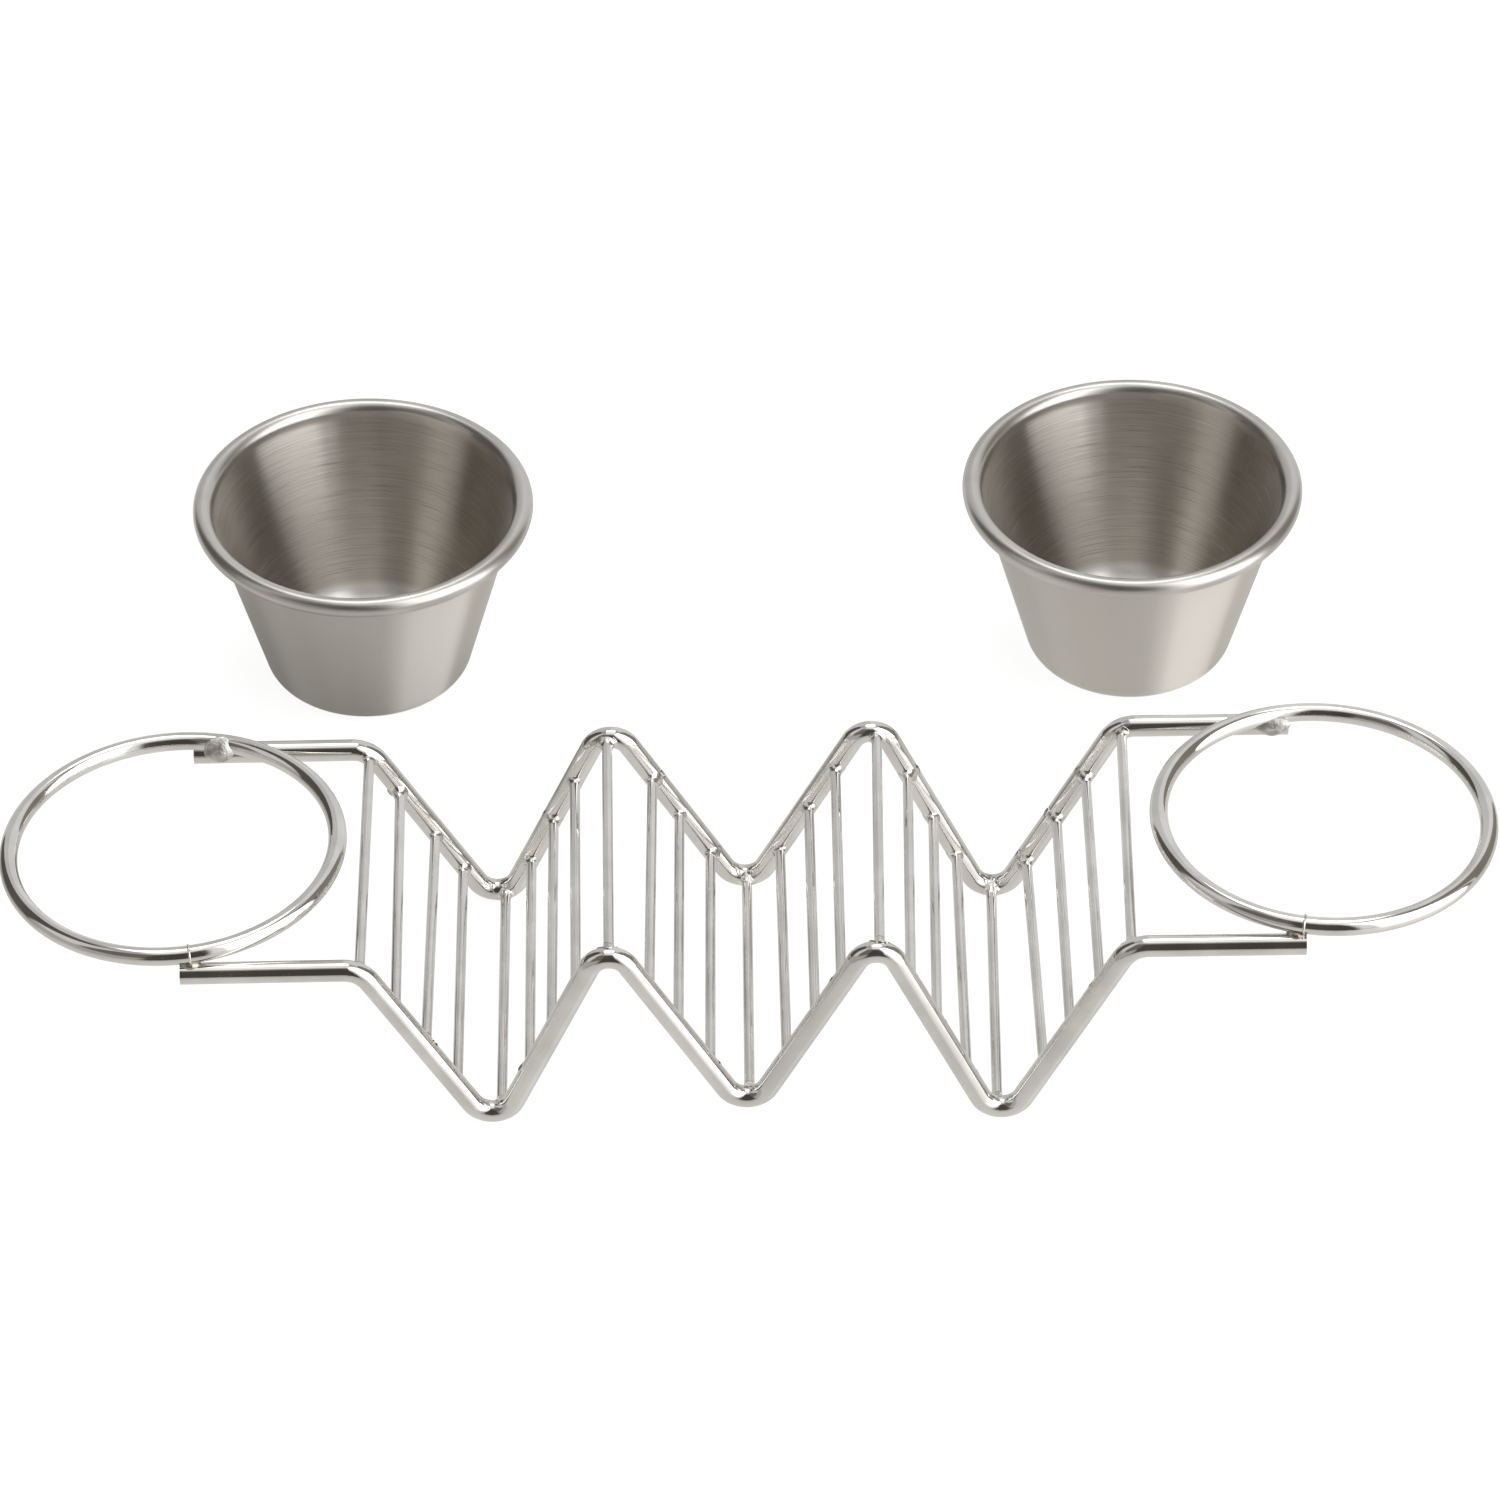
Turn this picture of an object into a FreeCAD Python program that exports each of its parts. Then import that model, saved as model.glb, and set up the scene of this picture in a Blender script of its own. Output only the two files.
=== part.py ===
"""Taco holder: a rack of bent and welded steel wire with three troughs and a ring at each end,
and the two steel sauce cups that hang in the rings, standing behind the rack.

Millimetres, +Z up, +X along the rack, -Y towards its front. The origin is on the table, at the
middle of the footprint of rack and cups together. Each rail is one wire bent round seven pins:
under three valley pins, over two peak pins and over a shoulder pin at each side. The wire is bent
and welded by hand, so its left and right halves have sizes of their own.
"""
import FreeCAD, Part
import math
import os
import re

import Sketcher
from FreeCAD import Placement, Rotation, Vector

SIZES = {
    # wires
    "rail_wire": 4.4,
    "ring_wire": 3.7,
    "bar_wire": 2.1,
    # zigzag: reaches are from the middle valley, tops and the lift are from the table
    "rail_spacing": 68.0,
    "valley_pitch": 51.2,
    "valley_bend": 4.8,
    "peak_bend": 4.3,
    "shoulder_bend": 6.0,
    "middle_valley_lift": 3.3,
    "left_peak_reach": 27.2,
    "left_peak_top": 45.2,
    "right_peak_reach": 25.9,
    "right_peak_top": 46.1,
    "left_shoulder_reach": 80.0,
    "left_shoulder_top": 42.4,
    "right_shoulder_reach": 79.9,
    "right_shoulder_top": 46.9,
    "left_end_reach": 112.3,
    "left_end_top": 42.0,
    "right_end_reach": 111.0,
    "right_end_top": 47.1,
    # rings, which lie on the ends of the rails and droop outwards; across its wire's middle a ring
    # measures as much as the rails are apart, less the inset
    "ring_inset": 1.6,
    "ring_gap": 0.03,
    "left_ring_overhang": 2.7,
    "left_ring_tilt": 2.5,
    "right_ring_overhang": 5.3,
    "right_ring_tilt": 1.7,
    # welds of the rings: in from the rail's end, half the bead's length, above the middle of the joint
    "left_front_weld_inset": 2.1,
    "left_front_weld_reach": 2.1,
    "left_front_weld_lift": 0.1,
    "right_front_weld_inset": 2.0,
    "right_front_weld_reach": 2.0,
    "right_front_weld_lift": 0.1,
    "left_rear_weld_inset": 5.6,
    "left_rear_weld_reach": 2.9,
    "left_rear_weld_lift": 1.0,
    "right_rear_weld_inset": 3.4,
    "right_rear_weld_reach": 3.3,
    "right_rear_weld_lift": 0.2,
    # half the height and the depth of the welds, and how far they stand on the rack's inner side
    "front_weld_tall": 1.2,
    "front_weld_deep": 1.9,
    "front_weld_inward": 0.2,
    "rear_weld_tall": 2.6,
    "rear_weld_deep": 2.4,
    "rear_weld_inward": 1.5,
    # sauce cups
    "cup_height": 43.8,
    "cup_wall": 0.6,
    "cup_base": 34.5,
    "cup_base_bend": 5.0,
    "cup_rim_bead": 4.0,
    "cup_rim_overhang": 0.7,
    "cup_curl_end": 115.0,
    "left_cup_across": 79.8,
    "left_cup_behind": 112.0,
    "right_cup_across": 82.6,
    "right_cup_behind": 116.1,
}

# The bends of a rail from left to right: the size that bends it, and whether the wire goes over.
BENDS = {
    "LeftShoulder": ("shoulder_bend", True),
    "LeftValley": ("valley_bend", False),
    "LeftPeak": ("peak_bend", True),
    "MiddleValley": ("valley_bend", False),
    "RightPeak": ("peak_bend", True),
    "RightValley": ("valley_bend", False),
    "RightShoulder": ("shoulder_bend", True),
}

# Where cross bars meet the front and the rear rail: from each bend of the rail, shares of the way to
# the next. The first bar of each row sits in the bend, and the last bar just under the right shoulder.
BARS = {
    "LeftShoulder": ((0.111, 0.122), (0.35, 0.33), (0.55, 0.57), (0.76, 0.76)),
    "LeftValley": ((0.075, 0.071), (0.32, 0.30), (0.51, 0.50), (0.72, 0.69)),
    "LeftPeak": ((0.0, -0.026), (0.29, 0.31), (0.50, 0.51), (0.73, 0.74)),
    "MiddleValley": ((0.019, 0.015), (0.31, 0.28), (0.53, 0.51), (0.73, 0.72)),
    "RightPeak": ((0.024, 0.047), (0.27, 0.30), (0.48, 0.51), (0.72, 0.70)),
    "RightValley": ((-0.031, -0.010), (0.29, 0.24), (0.47, 0.45), (0.67, 0.65), (0.881885, 0.899223)),
}

# Places worked out from the sizes. X and Z are measured in the plane of a rail.
LAYOUT = {
    "ValleyZ": "Sizes.rail_wire / 2 + Sizes.valley_bend",
    "LeftShoulderX": "-Sizes.left_shoulder_reach",
    "LeftShoulderZ": "Sizes.left_shoulder_top - Sizes.rail_wire / 2 - Sizes.shoulder_bend",
    "LeftValleyX": "-Sizes.valley_pitch",
    "LeftValleyZ": "Layout.ValleyZ",
    "LeftPeakX": "-Sizes.left_peak_reach",
    "LeftPeakZ": "Sizes.left_peak_top - Sizes.rail_wire / 2 - Sizes.peak_bend",
    "MiddleValleyX": "0",
    "MiddleValleyZ": "Layout.ValleyZ + Sizes.middle_valley_lift",
    "RightPeakX": "Sizes.right_peak_reach",
    "RightPeakZ": "Sizes.right_peak_top - Sizes.rail_wire / 2 - Sizes.peak_bend",
    "RightValleyX": "Sizes.valley_pitch",
    "RightValleyZ": "Layout.ValleyZ",
    "RightShoulderX": "Sizes.right_shoulder_reach",
    "RightShoulderZ": "Sizes.right_shoulder_top - Sizes.rail_wire / 2 - Sizes.shoulder_bend",
    "LeftEndX": "-Sizes.left_end_reach",
    "LeftEndZ": "Sizes.left_end_top - Sizes.rail_wire / 2",
    "RightEndX": "Sizes.right_end_reach",
    "RightEndZ": "Sizes.right_end_top - Sizes.rail_wire / 2",
    # a ring's wire rests on the rail's end, a little inboard of the rail's own middle
    "RingRadius": "(Sizes.rail_spacing - Sizes.ring_inset) / 2",
    "RingContact": "(Sizes.rail_wire + Sizes.ring_wire) / 2 + Sizes.ring_gap",
    "LeftInboard": "Sizes.rail_spacing / 2 - sqrt(Layout.RingRadius ^ 2 - Sizes.left_ring_overhang ^ 2)",
    "RightInboard": "Sizes.rail_spacing / 2 - sqrt(Layout.RingRadius ^ 2 - Sizes.right_ring_overhang ^ 2)",
    "LeftSeat": "sqrt(Layout.RingContact ^ 2 - Layout.LeftInboard ^ 2)",
    "RightSeat": "sqrt(Layout.RingContact ^ 2 - Layout.RightInboard ^ 2)",
    "LeftRingX": "Layout.LeftEndX - Sizes.left_ring_overhang",
    "RightRingX": "Layout.RightEndX + Sizes.right_ring_overhang",
    "LeftDroop": "Sizes.left_ring_overhang * tan(Sizes.left_ring_tilt)",
    "RightDroop": "Sizes.right_ring_overhang * tan(Sizes.right_ring_tilt)",
    "LeftRingZ": "Layout.LeftEndZ + Layout.LeftSeat - Layout.LeftDroop",
    "RightRingZ": "Layout.RightEndZ + Layout.RightSeat - Layout.RightDroop",
    # the rim's bead lies over the ring's wire, and the cup's wall passes inside it
    "CupRimX": "Layout.RingRadius + Sizes.cup_rim_overhang",
    "CupRimZ": "Sizes.cup_height - Sizes.cup_rim_bead / 2",
    "CupRadius": "Layout.CupRimX + Sizes.cup_rim_bead / 2",
    # the rack and the cups are centred together on the origin
    "LeftReach": "Layout.LeftRingX - Layout.RingRadius * cos(Sizes.left_ring_tilt) - Sizes.ring_wire / 2",
    "RightReach": "Layout.RightRingX + Layout.RingRadius * cos(Sizes.right_ring_tilt) + Sizes.ring_wire / 2",
    "RackX": "-(Layout.LeftReach + Layout.RightReach) / 2",
    "RackFront": "(Sizes.rail_spacing + Sizes.rail_wire) / 2",
    "CupsBack": "max(Sizes.left_cup_behind; Sizes.right_cup_behind) + Layout.CupRadius",
    "RackY": "(Layout.RackFront - Layout.CupsBack) / 2",
    "FrontRailY": "Layout.RackY - Sizes.rail_spacing / 2",
    "RearRailY": "Layout.RackY + Sizes.rail_spacing / 2",
}

UP = Vector(0, 0, 1)


def make_sheet(doc):
    """Spreadsheet of the driving sizes, one aliased cell each."""
    sheet = doc.addObject("Spreadsheet::Sheet", "Sizes")
    for row, (alias, value) in enumerate(SIZES.items(), start=1):
        sheet.set(f"A{row}", alias)
        sheet.set(f"B{row}", str(value))
        sheet.setAlias(f"B{row}", alias)
    doc.recompute()
    return sheet


def in_sizes(formula):
    """A layout formula with every place that it names written out in sizes."""
    while "Layout." in formula:
        formula = re.sub(r"Layout\.(\w+)", lambda found: f"({LAYOUT[found.group(1)]})", formula)
    return formula


def make_layout(doc):
    """Variable set of the places that follow from the sizes, one formula each."""
    layout = doc.addObject("App::VarSet", "Layout")
    for name, formula in LAYOUT.items():
        layout.addProperty("App::PropertyFloat", name)
        layout.setExpression(name, in_sizes(formula))
    doc.recompute()
    return layout


def origin_plane(body, role):
    """One of a body's own origin planes."""
    return next(item for item in body.Origin.OriginFeatures if item.Role == role)


def add_sketch(body, name, role):
    """Empty sketch on one of the body's own origin planes."""
    sketch = body.newObject("Sketcher::SketchObject", name)
    sketch.AttachmentSupport = (origin_plane(body, role), [""])
    sketch.MapMode = "FlatFace"
    return sketch


def bind(sketch, name, constraint, formula):
    """Adds a constraint whose value follows a formula of the sizes."""
    index = sketch.addConstraint(constraint)
    sketch.renameConstraint(index, name)
    sketch.setExpression(f"Constraints.{name}", formula)


def pin_point(sketch, name, geometry, point, at, across, height):
    """Ties a point of a sketch to the sketch's origin, across and in height."""
    if at.x == 0:
        sketch.addConstraint(Sketcher.Constraint("PointOnObject", geometry, point, -2))
    else:
        bind(sketch, f"{name}Across", Sketcher.Constraint("DistanceX", -1, 1, geometry, point, at.x), across)
    bind(sketch, f"{name}Height", Sketcher.Constraint("DistanceY", -1, 1, geometry, point, at.y), height)


def tangent_run(start, start_offset, end, end_offset):
    """Both ends of the straight that passes two centres at given distances to its left."""
    along = end - start
    angle = math.atan2(along.y, along.x) - math.asin((start_offset - end_offset) / along.Length)
    left = Vector(-math.sin(angle), math.cos(angle), 0)
    return start + left * start_offset, end + left * end_offset


def arc_round(centre, radius, start, end):
    """Arc about a centre, drawn anticlockwise from the bearing of one point to that of another."""
    first = math.atan2(start.y - centre.y, start.x - centre.x)
    last = math.atan2(end.y - centre.y, end.x - centre.x)
    if last < first:
        last += 2 * math.pi
    return Part.ArcOfCircle(Part.Circle(centre, UP, radius), first, last)


class Rail:
    """Centreline of a rail in its own plane: straights that run tangent from bend to bend."""

    def __init__(self, sheet, layout):
        def place(name):
            return Vector(getattr(layout, f"{name}X"), getattr(layout, f"{name}Z"), 0)

        self.centres = {name: place(name) for name in BENDS}
        self.radii = {name: getattr(sheet, bend) for name, (bend, _) in BENDS.items()}
        self.ends = place("LeftEnd"), place("RightEnd")
        offsets = [self.radii[name] * (1 if over else -1) for name, (_, over) in BENDS.items()]
        stops = list(zip([self.ends[0], *self.centres.values(), self.ends[1]], [0, *offsets, 0]))
        self.runs = [tangent_run(*first, *second) for first, second in zip(stops, stops[1:])]

    def height(self, x):
        """Height of the centreline above the table, x from the middle valley."""
        for start, end in self.runs:
            if start.x <= x <= end.x:
                return start.y + (end.y - start.y) * (x - start.x) / (end.x - start.x)
        name = min(self.centres, key=lambda bend: abs(self.centres[bend].x - x))
        rise = math.sqrt(self.radii[name] ** 2 - (x - self.centres[name].x) ** 2)
        return self.centres[name].y + (rise if BENDS[name][1] else -rise)

    def bar_stations(self):
        """Where each cross bar meets the front and the rear rail, from left to right."""
        stops = [centre.x for centre in self.centres.values()]
        for name, start, end in zip(BENDS, stops, stops[1:]):
            yield from (tuple(start + (end - start) * share for share in pair) for pair in BARS[name])


def draw_route(sketch, rail):
    """Draws a rail's centreline, with each bend tangent to the straights at both its sides."""
    runs = [sketch.addGeometry(Part.LineSegment(start, end)) for start, end in rail.runs]
    for index, (name, (bend, over)) in enumerate(BENDS.items()):
        before, after = rail.runs[index][1], rail.runs[index + 1][0]
        first, last = (after, before) if over else (before, after)
        arc = sketch.addGeometry(arc_round(rail.centres[name], rail.radii[name], first, last))
        entry, leave = (2, 1) if over else (1, 2)
        sketch.addConstraint(Sketcher.Constraint("Tangent", runs[index], 2, arc, entry))
        sketch.addConstraint(Sketcher.Constraint("Tangent", runs[index + 1], 1, arc, leave))
        bind(sketch, f"{name}Bend", Sketcher.Constraint("Radius", arc, rail.radii[name]), f"Sizes.{bend}")
        pin_point(sketch, name, arc, 3, rail.centres[name], f"Layout.{name}X", f"Layout.{name}Z")
    pin_point(sketch, "LeftEnd", runs[0], 1, rail.ends[0], "Layout.LeftEndX", "Layout.LeftEndZ")
    pin_point(sketch, "RightEnd", runs[-1], 2, rail.ends[1], "Layout.RightEndX", "Layout.RightEndZ")


def make_rail(doc, rail, sheet, label, formula_y):
    """A rail: round wire swept along its zigzag."""
    body = doc.addObject("PartDesign::Body", label)
    body.Label = label
    route = add_sketch(body, f"{label}_route", "XZ_Plane")
    draw_route(route, rail)
    section = add_sketch(body, f"{label}_section", "YZ_Plane")
    section.setExpression("AttachmentOffset.Base.z", "Layout.LeftEndX")
    start = rail.ends[0]
    circle = section.addGeometry(Part.Circle(Vector(0, start.y, 0), UP, sheet.rail_wire / 2))
    section.addConstraint(Sketcher.Constraint("PointOnObject", circle, 3, -2))
    bind(section, "Height", Sketcher.Constraint("DistanceY", -1, 1, circle, 3, start.y), "Layout.LeftEndZ")
    bind(section, "Wire", Sketcher.Constraint("Diameter", circle, sheet.rail_wire), "Sizes.rail_wire")
    doc.recompute()
    wire = body.newObject("PartDesign::AdditivePipe", f"{label}_wire")
    wire.Profile = section
    wire.Spine = (route, [f"Edge{number + 1}" for number in range(len(route.Geometry))])
    body.setExpression("Placement.Base.x", "Layout.RackX")
    body.setExpression("Placement.Base.y", formula_y)
    return body


def make_ring(doc, label, side, lean):
    """A ring of wire on the ends of both rails, drooping away from the rack."""
    ring = doc.addObject("Part::Torus", label)
    ring.Label = label
    ring.Placement = Placement(Vector(), Rotation(Vector(0, 1, 0), lean))
    ring.setExpression("Radius1", "Layout.RingRadius")
    ring.setExpression("Radius2", "Sizes.ring_wire / 2")
    ring.setExpression("Placement.Base.x", f"Layout.RackX + Layout.{side}RingX")
    ring.setExpression("Placement.Base.y", "Layout.RackY")
    ring.setExpression("Placement.Base.z", f"Layout.{side}RingZ")
    ring.setExpression("Placement.Rotation.Angle", f"{lean} * Sizes.{side.lower()}_ring_tilt")
    return ring


def make_cut(doc, label, blank, tools):
    """A piece whose ends are shaped to the pieces that it meets."""
    tool = doc.addObject("Part::Compound", f"{label}_tool")
    tool.Links = tools
    piece = doc.addObject("Part::Cut", label)
    piece.Label = label
    piece.Base = blank
    piece.Tool = tool
    return piece


def make_bar(doc, label, rail, rails, layout, station):
    """A cross bar butted between the rails, its ends coped round them."""
    front, rear = station
    start = Vector(layout.RackX + front, layout.FrontRailY, rail.height(front))
    end = Vector(layout.RackX + rear, layout.RearRailY, rail.height(rear))
    blank = doc.addObject("Part::Cylinder", f"{label}_blank")
    blank.setExpression("Radius", "Sizes.bar_wire / 2")
    blank.setExpression("Height", "Sizes.rail_spacing")
    blank.Placement = Placement(start, Rotation(UP, end - start))
    return make_cut(doc, label, blank, rails)


def make_ring_weld(doc, rail, sheet, layout, side, row, pieces):
    """Bead of weld in the angle between a ring and the rail that it lies on."""
    label = f"{side}_{row}_weld"
    away = 1 if side == "left" else -1
    inset = getattr(sheet, f"{label}_inset")
    overhang = getattr(sheet, f"{side}_ring_overhang")
    tilt = math.radians(getattr(sheet, f"{side}_ring_tilt"))
    x = getattr(layout, f"{side.capitalize()}EndX") + away * inset
    rail_z = rail.height(x)
    ring_z = getattr(layout, f"{side.capitalize()}RingZ") + (inset + overhang) * math.tan(tilt)
    ring_y = math.sqrt(layout.RingRadius ** 2 - (inset + overhang) ** 2)
    facing = -1 if row == "front" else 1
    y = facing * ((ring_y + sheet.rail_spacing / 2) / 2 - getattr(sheet, f"{row}_weld_inward"))
    z = (rail_z + ring_z) / 2 + getattr(sheet, f"{label}_lift")
    blank = doc.addObject("Part::Ellipsoid", f"{label}_blank")
    blank.setExpression("Radius1", f"Sizes.{row}_weld_tall")
    blank.setExpression("Radius2", f"Sizes.{label}_reach")
    blank.setExpression("Radius3", f"Sizes.{row}_weld_deep")
    blank.Placement = Placement(Vector(layout.RackX + x, layout.RackY + y, z), Rotation())
    return make_cut(doc, label, blank, pieces)


def draw_cup(sketch, sheet, layout):
    """Half section of a cup: base, bend, tapered wall and a rim curled outwards and down."""
    bend_at = Vector(sheet.cup_base / 2, sheet.cup_base_bend, 0)
    rim_at = Vector(layout.CupRimX, layout.CupRimZ, 0)
    bend_out, bend_in = sheet.cup_base_bend, sheet.cup_base_bend - sheet.cup_wall
    curl_out, curl_in = sheet.cup_rim_bead / 2, sheet.cup_rim_bead / 2 - sheet.cup_wall
    outer_low, outer_high = tangent_run(bend_at, -bend_out, rim_at, curl_in)
    inner_low, inner_high = tangent_run(bend_at, -bend_in, rim_at, curl_out)
    turn = math.radians(-sheet.cup_curl_end)
    lip = Vector(math.cos(turn), math.sin(turn), 0)
    lip_in, lip_out = rim_at + lip * curl_in, rim_at + lip * curl_out
    floor = Vector(0, sheet.cup_wall, 0)
    under_bend = Vector(bend_at.x, 0, 0)
    over_bend = Vector(bend_at.x, sheet.cup_wall, 0)

    base, wall_out, lip_end, wall_in, floor_in, axis = (
        sketch.addGeometry(Part.LineSegment(*ends)) for ends in (
            (Vector(), under_bend), (outer_low, outer_high), (lip_in, lip_out),
            (inner_high, inner_low), (over_bend, floor), (floor, Vector())))
    corner_out = sketch.addGeometry(arc_round(bend_at, bend_out, under_bend, outer_low))
    corner_in = sketch.addGeometry(arc_round(bend_at, bend_in, over_bend, inner_low))
    rim_in = sketch.addGeometry(arc_round(rim_at, curl_in, lip_in, outer_high))
    rim_out = sketch.addGeometry(arc_round(rim_at, curl_out, lip_out, inner_high))

    for first, first_end, second, second_end in (
            (base, 2, corner_out, 1), (wall_out, 1, corner_out, 2), (wall_out, 2, rim_in, 2),
            (wall_in, 1, rim_out, 2), (wall_in, 2, corner_in, 2), (floor_in, 1, corner_in, 1)):
        sketch.addConstraint(Sketcher.Constraint("Tangent", first, first_end, second, second_end))
    for first, first_end, second, second_end in (
            (rim_in, 1, lip_end, 1), (rim_out, 1, lip_end, 2), (floor_in, 2, axis, 1), (axis, 2, base, 1),
            (base, 1, -1, 1), (corner_in, 3, corner_out, 3), (rim_in, 3, rim_out, 3)):
        sketch.addConstraint(Sketcher.Constraint("Coincident", first, first_end, second, second_end))
    sketch.addConstraint(Sketcher.Constraint("Horizontal", base))
    sketch.addConstraint(Sketcher.Constraint("Horizontal", floor_in))
    sketch.addConstraint(Sketcher.Constraint("Vertical", axis))
    sketch.addConstraint(Sketcher.Constraint("PointOnObject", rim_in, 3, lip_end))

    bind(sketch, "Base", Sketcher.Constraint("DistanceX", -1, 1, corner_out, 3, bend_at.x),
         "Sizes.cup_base / 2")
    bind(sketch, "BendOut", Sketcher.Constraint("Radius", corner_out, bend_out), "Sizes.cup_base_bend")
    bind(sketch, "BendIn", Sketcher.Constraint("Radius", corner_in, bend_in),
         "Sizes.cup_base_bend - Sizes.cup_wall")
    bind(sketch, "CurlOut", Sketcher.Constraint("Radius", rim_out, curl_out), "Sizes.cup_rim_bead / 2")
    bind(sketch, "CurlIn", Sketcher.Constraint("Radius", rim_in, curl_in),
         "Sizes.cup_rim_bead / 2 - Sizes.cup_wall")
    pin_point(sketch, "Rim", rim_out, 3, rim_at, "Layout.CupRimX", "Layout.CupRimZ")
    bind(sketch, "Lip", Sketcher.Constraint("Angle", lip_end, turn), "-Sizes.cup_curl_end * 1 deg")


def make_cup(doc, sheet, layout, label, formula_x, formula_y):
    """A spun sauce cup."""
    body = doc.addObject("PartDesign::Body", label)
    body.Label = label
    section = add_sketch(body, f"{label}_section", "XZ_Plane")
    draw_cup(section, sheet, layout)
    doc.recompute()
    spun = body.newObject("PartDesign::Revolution", f"{label}_spun")
    spun.Profile = section
    spun.ReferenceAxis = (section, ["V_Axis"])
    spun.Angle = 360
    body.setExpression("Placement.Base.x", formula_x)
    body.setExpression("Placement.Base.y", formula_y)
    return body


def check(doc, parts):
    """Stops with a message if any object failed or any piece isn't a sound solid."""
    for item in doc.Objects:
        if "Invalid" in item.State or "Error" in item.State:
            raise RuntimeError(f"{item.Label}: {item.State}")
    for part in parts:
        if part.Shape.isNull() or not part.Shape.isValid() or not part.Shape.Solids:
            raise RuntimeError(f"{part.Label}: no sound solid")


def main():
    doc = FreeCAD.newDocument("TacoHolder")
    sheet = make_sheet(doc)
    layout = make_layout(doc)
    rail = Rail(sheet, layout)

    front_rail = make_rail(doc, rail, sheet, "front_rail", "Layout.FrontRailY")
    rear_rail = make_rail(doc, rail, sheet, "rear_rail", "Layout.RearRailY")
    rails = [front_rail, rear_rail]
    left_ring = make_ring(doc, "left_ring", "Left", -1)
    right_ring = make_ring(doc, "right_ring", "Right", 1)
    bars = [
        make_bar(doc, f"cross_bar_{number:02d}", rail, rails, layout, station)
        for number, station in enumerate(rail.bar_stations(), start=1)
    ]
    welds = [
        make_ring_weld(doc, rail, sheet, layout, side, row, [ring, carrier])
        for side, ring in (("left", left_ring), ("right", right_ring))
        for row, carrier in (("front", front_rail), ("rear", rear_rail))
    ]
    cups = [
        make_cup(doc, sheet, layout, "left_cup", "Layout.RackX - Sizes.left_cup_across",
                 "Layout.RackY + Sizes.left_cup_behind"),
        make_cup(doc, sheet, layout, "right_cup", "Layout.RackX + Sizes.right_cup_across",
                 "Layout.RackY + Sizes.right_cup_behind"),
    ]
    doc.recompute()

    parts = [*rails, left_ring, right_ring, *bars, *welds, *cups]
    check(doc, parts)
    os.makedirs("parts", exist_ok=True)
    for part in parts:
        part.Shape.exportStep(f"parts/{part.Label}.step")
        print(f"{part.Label}: volume {part.Shape.Volume:.1f}, solids {len(part.Shape.Solids)}")


main()
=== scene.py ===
"""Taco holder of bent and welded wire with its two spun sauce cups, dressed for a studio picture.

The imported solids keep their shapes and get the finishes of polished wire, brushed cup and weld metal.
Small weld fillets at the ends of the cross bars, the butt seams of the rings and the flat pools of weld
metal over the rear ring welds are added as surfaces worked out with numpy. Everything is in metres in
the frame of the solids. A span says where a soft edge begins and where it ends.
"""
import logging
import math
from dataclasses import dataclass
from enum import Enum
from typing import Any

import bmesh
import bpy
import numpy as np
from mathutils import Matrix, Vector
from mathutils.bvhtree import BVHTree


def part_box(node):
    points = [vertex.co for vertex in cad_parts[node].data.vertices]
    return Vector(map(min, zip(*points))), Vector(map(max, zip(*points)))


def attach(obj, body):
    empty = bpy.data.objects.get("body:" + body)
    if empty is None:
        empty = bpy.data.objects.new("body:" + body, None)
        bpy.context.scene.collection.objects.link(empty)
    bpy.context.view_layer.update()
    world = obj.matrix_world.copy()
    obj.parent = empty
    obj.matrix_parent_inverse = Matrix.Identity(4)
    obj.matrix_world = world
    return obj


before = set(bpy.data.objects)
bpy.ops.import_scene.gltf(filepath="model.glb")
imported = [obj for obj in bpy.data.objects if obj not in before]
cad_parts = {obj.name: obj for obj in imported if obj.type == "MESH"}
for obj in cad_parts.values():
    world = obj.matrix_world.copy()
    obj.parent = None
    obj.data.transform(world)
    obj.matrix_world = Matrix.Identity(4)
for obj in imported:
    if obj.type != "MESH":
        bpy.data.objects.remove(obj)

LOG = logging.getLogger("taco_holder")
MM = 0.001
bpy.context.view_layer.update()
SAME_POINT = 0.001 * MM
FULL_TURN = 2 * math.pi
FRONT_SEED, REAR_SEED = 11, 12

Triple = tuple[float, float, float]
Span = tuple[float, float]
WHITE = (1.0, 1.0, 1.0, 1.0)


class Side(Enum):
    """The two ends of the rack."""

    LEFT = "left"
    RIGHT = "right"


class Row(Enum):
    """The two rails of the rack."""

    FRONT = "front"
    REAR = "rear"


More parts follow.
